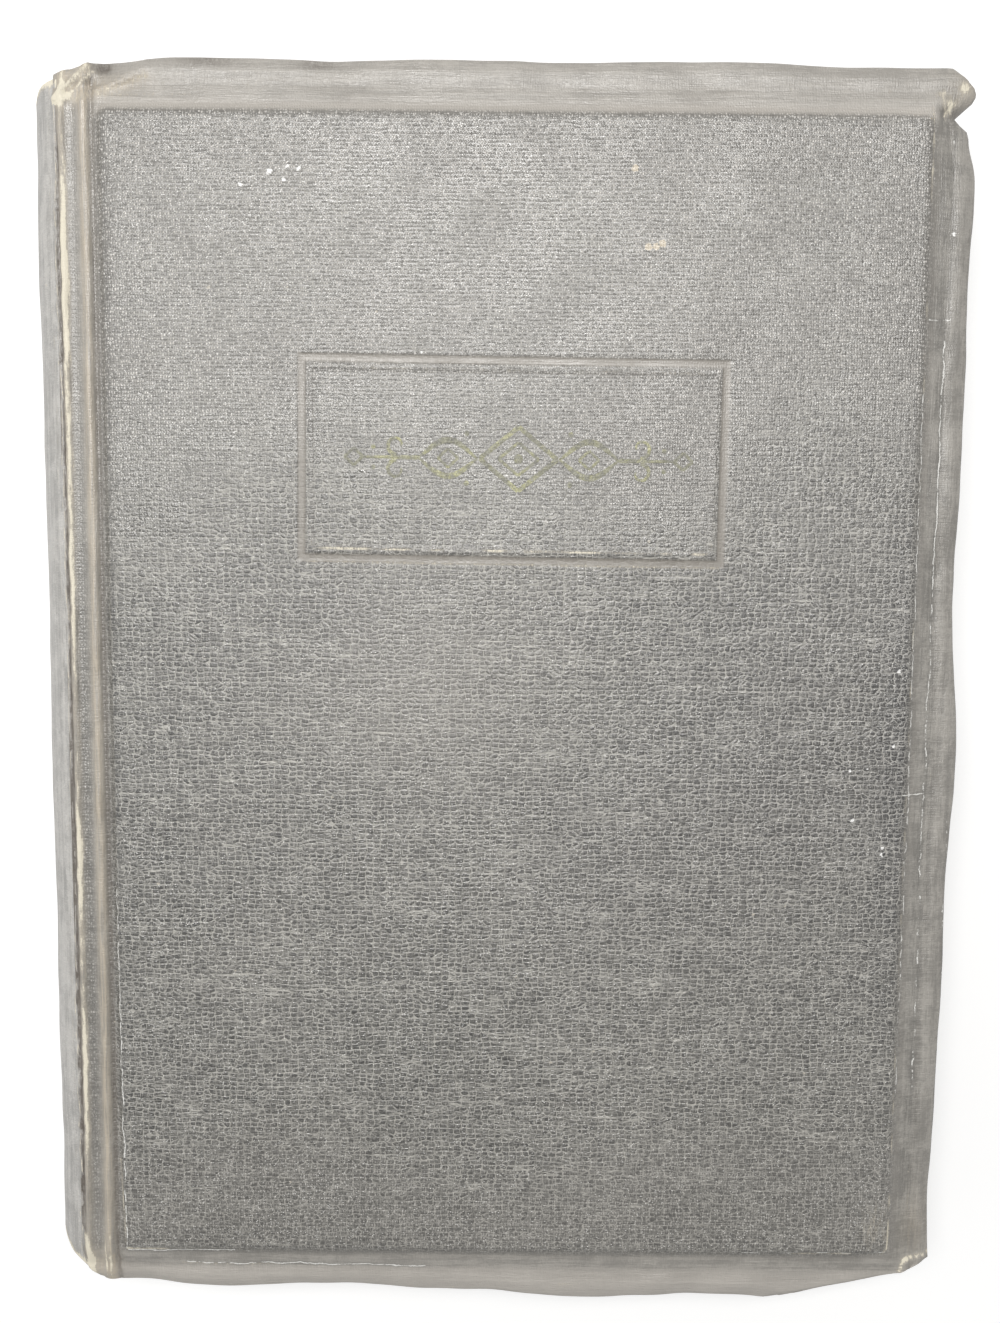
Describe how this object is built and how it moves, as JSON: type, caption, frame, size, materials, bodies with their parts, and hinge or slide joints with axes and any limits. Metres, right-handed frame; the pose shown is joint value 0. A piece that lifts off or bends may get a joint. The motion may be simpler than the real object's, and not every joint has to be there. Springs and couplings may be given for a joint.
{
  "type": "photo album",
  "caption": "Portrait photo album in dark grained imitation leather, with a raised front panel, soft drooping edges, a rounded spine and turning leaves.",
  "frame": {"origin": "middle of the footprint, on the surface that the closed album lies on", "axes": "+X from the spine to the fore-edge, +Y from tail to head, +Z out of the front cover"},
  "size_m": [0.2431, 0.326, 0.0363],
  "materials": {
    "leatherette": "imitation leather: paper and cloth coated and pressed with a small crackled grain, faded, rubbed pale along folds and edges",
    "board": "pressed grey-brown binder's board",
    "card": "limp card, matt",
    "stub_card": "dark card stubs, matt",
    "lining_paper": "dark grey-brown paper, matt",
    "hinge_cloth": "dark book cloth",
    "thread": "waxed linen thread",
    "leaf_paper": "black album paper, faded to brown at the edges"
  },
  "bodies": {
    "block": {"spine_leatherette": "leatherette", "spine_liner": "card", "spine_mull": "hinge_cloth", "binding_stubs": "stub_card", "sewing_thread": "thread", "leaf_hinges": "hinge_cloth"},
    "front_cover": {"front_leatherette": "leatherette", "front_board": "board", "front_edge_core": "card", "front_lining": "lining_paper"},
    "back_cover": {"back_leatherette": "leatherette", "back_board": "board", "back_edge_core": "card", "back_lining": "lining_paper"},
    "front_flyleaf": {"front_flyleaf": "lining_paper"},
    "leaf_01": {"leaf_01": "leaf_paper"},
    "leaf_02": {"leaf_02": "leaf_paper"},
    "leaf_03": {"leaf_03": "leaf_paper"},
    "leaf_04": {"leaf_04": "leaf_paper"},
    "leaf_05": {"leaf_05": "leaf_paper"},
    "leaf_06": {"leaf_06": "leaf_paper"},
    "leaf_07": {"leaf_07": "leaf_paper"},
    "leaf_08": {"leaf_08": "leaf_paper"},
    "leaf_09": {"leaf_09": "leaf_paper"},
    "leaf_10": {"leaf_10": "leaf_paper"},
    "leaf_11": {"leaf_11": "leaf_paper"},
    "leaf_12": {"leaf_12": "leaf_paper"},
    "leaf_13": {"leaf_13": "leaf_paper"},
    "leaf_14": {"leaf_14": "leaf_paper"},
    "leaf_15": {"leaf_15": "leaf_paper"},
    "leaf_16": {"leaf_16": "leaf_paper"},
    "leaf_17": {"leaf_17": "leaf_paper"},
    "leaf_18": {"leaf_18": "leaf_paper"},
    "leaf_19": {"leaf_19": "leaf_paper"},
    "leaf_20": {"leaf_20": "leaf_paper"},
    "leaf_21": {"leaf_21": "leaf_paper"},
    "leaf_22": {"leaf_22": "leaf_paper"},
    "leaf_23": {"leaf_23": "leaf_paper"},
    "leaf_24": {"leaf_24": "leaf_paper"},
    "back_flyleaf": {"back_flyleaf": "lining_paper"}
  },
  "joints": [
    {"name": "front_cover_hinge", "type": "hinge", "parent": "block", "child": "front_cover", "pos_m": [-0.11115, 0, 0.03404], "axis": [0, -1, 0], "range_deg": [0, 185], "deforming": ["leaf_hinges"]},
    {"name": "back_cover_hinge", "type": "hinge", "parent": "block", "child": "back_cover", "pos_m": [-0.11115, 0, 0.002], "axis": [0, 1, 0], "range_deg": [0, 180]},
    {"name": "front_flyleaf_turn", "type": "hinge", "parent": "block", "child": "front_flyleaf", "pos_m": [-0.08795, 0, 0.03102], "axis": [0, -1, 0], "range_deg": [0, 165]},
    {"name": "leaf_01_turn", "type": "hinge", "parent": "block", "child": "leaf_01", "pos_m": [-0.08795, 0, 0.02998], "axis": [0, -1, 0], "range_deg": [0, 158.6]},
    {"name": "leaf_02_turn", "type": "hinge", "parent": "block", "child": "leaf_02", "pos_m": [-0.08795, 0, 0.02894], "axis": [0, -1, 0], "range_deg": [0, 152.41]},
    {"name": "leaf_03_turn", "type": "hinge", "parent": "block", "child": "leaf_03", "pos_m": [-0.08795, 0, 0.0279], "axis": [0, -1, 0], "range_deg": [0, 146.43]},
    {"name": "leaf_04_turn", "type": "hinge", "parent": "block", "child": "leaf_04", "pos_m": [-0.08795, 0, 0.02686], "axis": [0, -1, 0], "range_deg": [0, 140.65]},
    {"name": "leaf_05_turn", "type": "hinge", "parent": "block", "child": "leaf_05", "pos_m": [-0.08795, 0, 0.02582], "axis": [0, -1, 0], "range_deg": [0, 135.08]},
    {"name": "leaf_06_turn", "type": "hinge", "parent": "block", "child": "leaf_06", "pos_m": [-0.08795, 0, 0.02478], "axis": [0, -1, 0], "range_deg": [0, 129.73]},
    {"name": "leaf_07_turn", "type": "hinge", "parent": "block", "child": "leaf_07", "pos_m": [-0.08795, 0, 0.02374], "axis": [0, -1, 0], "range_deg": [0, 124.58]},
    {"name": "leaf_08_turn", "type": "hinge", "parent": "block", "child": "leaf_08", "pos_m": [-0.08795, 0, 0.0227], "axis": [0, -1, 0], "range_deg": [0, 119.63]},
    {"name": "leaf_09_turn", "type": "hinge", "parent": "block", "child": "leaf_09", "pos_m": [-0.08795, 0, 0.02166], "axis": [0, -1, 0], "range_deg": [0, 114.9]},
    {"name": "leaf_10_turn", "type": "hinge", "parent": "block", "child": "leaf_10", "pos_m": [-0.08795, 0, 0.02062], "axis": [0, -1, 0], "range_deg": [0, 110.38]},
    {"name": "leaf_11_turn", "type": "hinge", "parent": "block", "child": "leaf_11", "pos_m": [-0.08795, 0, 0.01958], "axis": [0, -1, 0], "range_deg": [0, 106.06]},
    {"name": "leaf_12_turn", "type": "hinge", "parent": "block", "child": "leaf_12", "pos_m": [-0.08795, 0, 0.01854], "axis": [0, -1, 0], "range_deg": [0, 101.95]},
    {"name": "leaf_13_turn", "type": "hinge", "parent": "block", "child": "leaf_13", "pos_m": [-0.08795, 0, 0.0175], "axis": [0, -1, 0], "range_deg": [0, 98.05]},
    {"name": "leaf_14_turn", "type": "hinge", "parent": "block", "child": "leaf_14", "pos_m": [-0.08795, 0, 0.01646], "axis": [0, -1, 0], "range_deg": [0, 94.36]},
    {"name": "leaf_15_turn", "type": "hinge", "parent": "block", "child": "leaf_15", "pos_m": [-0.08795, 0, 0.01542], "axis": [0, -1, 0], "range_deg": [0, 90.88]},
    {"name": "leaf_16_turn", "type": "hinge", "parent": "block", "child": "leaf_16", "pos_m": [-0.08795, 0, 0.01438], "axis": [0, -1, 0], "range_deg": [0, 87.6]},
    {"name": "leaf_17_turn", "type": "hinge", "parent": "block", "child": "leaf_17", "pos_m": [-0.08795, 0, 0.01334], "axis": [0, -1, 0], "range_deg": [0, 84.53]},
    {"name": "leaf_18_turn", "type": "hinge", "parent": "block", "child": "leaf_18", "pos_m": [-0.08795, 0, 0.0123], "axis": [0, -1, 0], "range_deg": [0, 81.68]},
    {"name": "leaf_19_turn", "type": "hinge", "parent": "block", "child": "leaf_19", "pos_m": [-0.08795, 0, 0.01126], "axis": [0, -1, 0], "range_deg": [0, 79.03]},
    {"name": "leaf_20_turn", "type": "hinge", "parent": "block", "child": "leaf_20", "pos_m": [-0.08795, 0, 0.01022], "axis": [0, -1, 0], "range_deg": [0, 76.58]},
    {"name": "leaf_21_turn", "type": "hinge", "parent": "block", "child": "leaf_21", "pos_m": [-0.08795, 0, 0.00918], "axis": [0, -1, 0], "range_deg": [0, 74.35]},
    {"name": "leaf_22_turn", "type": "hinge", "parent": "block", "child": "leaf_22", "pos_m": [-0.08795, 0, 0.00814], "axis": [0, -1, 0], "range_deg": [0, 72.33]},
    {"name": "leaf_23_turn", "type": "hinge", "parent": "block", "child": "leaf_23", "pos_m": [-0.08795, 0, 0.0071], "axis": [0, -1, 0], "range_deg": [0, 70.51]},
    {"name": "leaf_24_turn", "type": "hinge", "parent": "block", "child": "leaf_24", "pos_m": [-0.08795, 0, 0.00606], "axis": [0, -1, 0], "range_deg": [0, 68.9]},
    {"name": "back_flyleaf_turn", "type": "hinge", "parent": "block", "child": "back_flyleaf", "pos_m": [-0.08795, 0, 0.00502], "axis": [0, -1, 0], "range_deg": [0, 67.5]}
  ],
  "couplings": [
    {"joint": "front_flyleaf_turn", "follows": "front_cover_hinge", "ratio": 0.89189},
    {"joint": "leaf_01_turn", "follows": "front_cover_hinge", "ratio": 0.8573},
    {"joint": "leaf_02_turn", "follows": "front_cover_hinge", "ratio": 0.82383},
    {"joint": "leaf_03_turn", "follows": "front_cover_hinge", "ratio": 0.79149},
    {"joint": "leaf_04_turn", "follows": "front_cover_hinge", "ratio": 0.76027},
    {"joint": "leaf_05_turn", "follows": "front_cover_hinge", "ratio": 0.73018},
    {"joint": "leaf_06_turn", "follows": "front_cover_hinge", "ratio": 0.70122},
    {"joint": "leaf_07_turn", "follows": "front_cover_hinge", "ratio": 0.67338},
    {"joint": "leaf_08_turn", "follows": "front_cover_hinge", "ratio": 0.64667},
    {"joint": "leaf_09_turn", "follows": "front_cover_hinge", "ratio": 0.62108},
    {"joint": "leaf_10_turn", "follows": "front_cover_hinge", "ratio": 0.59662},
    {"joint": "leaf_11_turn", "follows": "front_cover_hinge", "ratio": 0.57329},
    {"joint": "leaf_12_turn", "follows": "front_cover_hinge", "ratio": 0.55108},
    {"joint": "leaf_13_turn", "follows": "front_cover_hinge", "ratio": 0.53},
    {"joint": "leaf_14_turn", "follows": "front_cover_hinge", "ratio": 0.51005},
    {"joint": "leaf_15_turn", "follows": "front_cover_hinge", "ratio": 0.49122},
    {"joint": "leaf_16_turn", "follows": "front_cover_hinge", "ratio": 0.47351},
    {"joint": "leaf_17_turn", "follows": "front_cover_hinge", "ratio": 0.45694},
    {"joint": "leaf_18_turn", "follows": "front_cover_hinge", "ratio": 0.44149},
    {"joint": "leaf_19_turn", "follows": "front_cover_hinge", "ratio": 0.42716},
    {"joint": "leaf_20_turn", "follows": "front_cover_hinge", "ratio": 0.41396},
    {"joint": "leaf_21_turn", "follows": "front_cover_hinge", "ratio": 0.40189},
    {"joint": "leaf_22_turn", "follows": "front_cover_hinge", "ratio": 0.39095},
    {"joint": "leaf_23_turn", "follows": "front_cover_hinge", "ratio": 0.38113},
    {"joint": "leaf_24_turn", "follows": "front_cover_hinge", "ratio": 0.37243},
    {"joint": "back_flyleaf_turn", "follows": "front_cover_hinge", "ratio": 0.36486}
  ]
}
